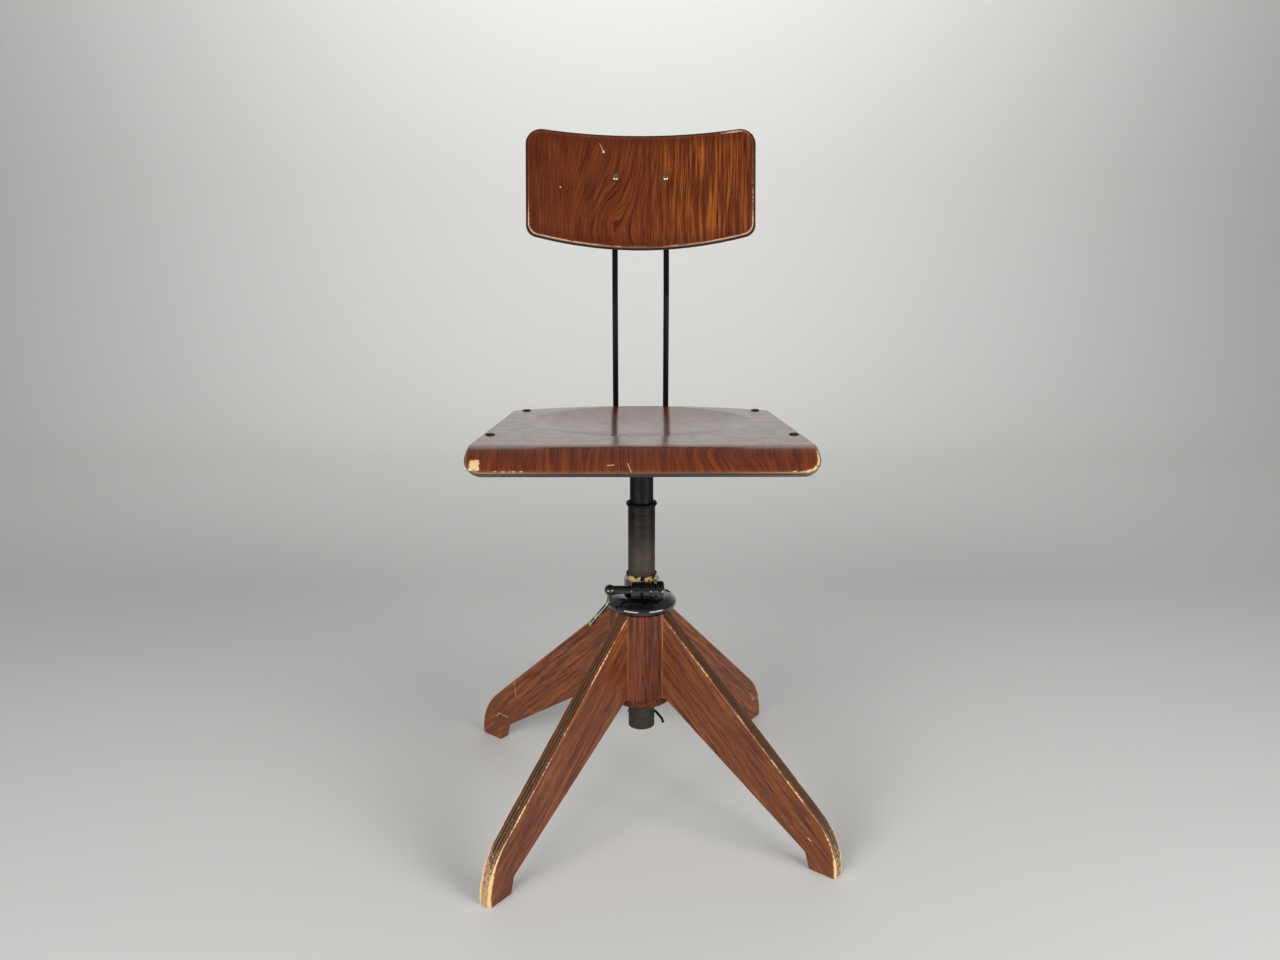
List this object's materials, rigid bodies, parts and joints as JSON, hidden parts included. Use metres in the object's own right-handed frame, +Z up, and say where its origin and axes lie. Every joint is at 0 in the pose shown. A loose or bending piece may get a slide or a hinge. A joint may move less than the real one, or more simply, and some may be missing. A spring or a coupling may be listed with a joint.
{
  "type": "swivel chair",
  "caption": "Swivel chair with board legs, a moulded plywood seat, a curved backrest on steel rods, a clamped height column and a sprung spindle.",
  "frame": {"origin": "on the floor, on the column's axis", "axes": "+Z up along the column, the seat faces -Y, +X to the left of someone sitting in it"},
  "size_m": [0.4848, 0.4896, 0.8886],
  "materials": {
    "leg_wood": "brown stained lacquer, worn along the edges",
    "hub_wood": "brown stained lacquer",
    "dowel_wood": "bare beech",
    "seat_plywood": "dark glossy lacquer over moulded plywood",
    "back_plywood": "dark glossy lacquer over moulded plywood",
    "black_enamel": "glossy black enamel",
    "sleeve_brass": "blackened brass, worn bright",
    "column_steel": "browned steel with fine rubbed marks",
    "spindle_black": "satin black",
    "rod_steel": "dark polished steel",
    "seat_bolt_steel": "domed heads stained brown",
    "bright_steel": "bright, slightly yellowed",
    "plain_steel": "plain steel"
  },
  "bodies": {
    "base": {"hub_core": "hub_wood", "leg_front_left": "leg_wood", "leg_front_right": "leg_wood", "leg_rear_right": "leg_wood", "leg_rear_left": "leg_wood", "leg_dowels": "dowel_wood", "hub_base_ring": "hub_wood", "base_ring_screws": "plain_steel", "collar": "black_enamel", "collar_screws": "plain_steel", "guide_sleeve": "sleeve_brass", "clamp_ring": "black_enamel", "clamp_nut": "black_enamel"},
    "clamp_handle": {"clamp_screw": "black_enamel", "clamp_lever": "black_enamel", "lever_pin": "plain_steel"},
    "column": {"column_tube": "column_steel", "column_ring": "spindle_black", "column_bushes": "sleeve_brass", "stop_pin": "plain_steel", "spring_plug": "plain_steel", "column_spring": "plain_steel"},
    "spring_seat": {"spring_cap": "plain_steel", "thrust_ball": "bright_steel"},
    "seat": {"spindle_plug": "plain_steel", "spindle_tube": "spindle_black", "seat_socket": "spindle_black", "socket_pin": "plain_steel", "seat_arms": "spindle_black", "arm_rivets": "plain_steel", "seat_shell": "seat_plywood", "seat_bolts": "seat_bolt_steel", "seat_nuts": "plain_steel", "rod_guide": "spindle_black", "rod_guide_screws": "plain_steel", "rod_clamp_bar": "spindle_black"},
    "wing_screw": {"rod_wing_screw": "spindle_black"},
    "back": {"back_rod_left": "rod_steel", "back_rod_right": "rod_steel", "backrest_shell": "back_plywood", "backrest_bolts": "bright_steel", "backrest_nuts": "bright_steel"}
  },
  "joints": [
    {"name": "height_slide", "type": "slide", "parent": "base", "child": "column", "axis": [0, 0, 1], "range_m": [-0.091, 0.019]},
    {"name": "clamp_turn", "type": "hinge", "parent": "base", "child": "clamp_handle", "pos_m": [0, -0.03222, 0.3132], "axis": [1, 0, 0], "range_deg": [-90, 10]},
    {"name": "seat_bounce", "type": "slide", "parent": "column", "child": "spring_seat", "axis": [0, 0, 1], "range_m": [-0.035, 0], "stiffness_N_per_m": 18000, "springref_m": 0.012, "deforming": ["column_spring"]},
    {"name": "seat_swivel", "type": "hinge", "parent": "spring_seat", "child": "seat", "pos_m": [0, 0, 0.24555], "axis": [0, 0, 1], "continuous": true},
    {"name": "back_depth", "type": "slide", "parent": "seat", "child": "back", "axis": [0, 1, 0], "range_m": [-0.005, 0.04]},
    {"name": "wing_turn", "type": "hinge", "parent": "seat", "child": "wing_screw", "pos_m": [0, 0.054, 0.4767], "axis": [0, 0, 1], "range_deg": [-90, 90]}
  ]
}
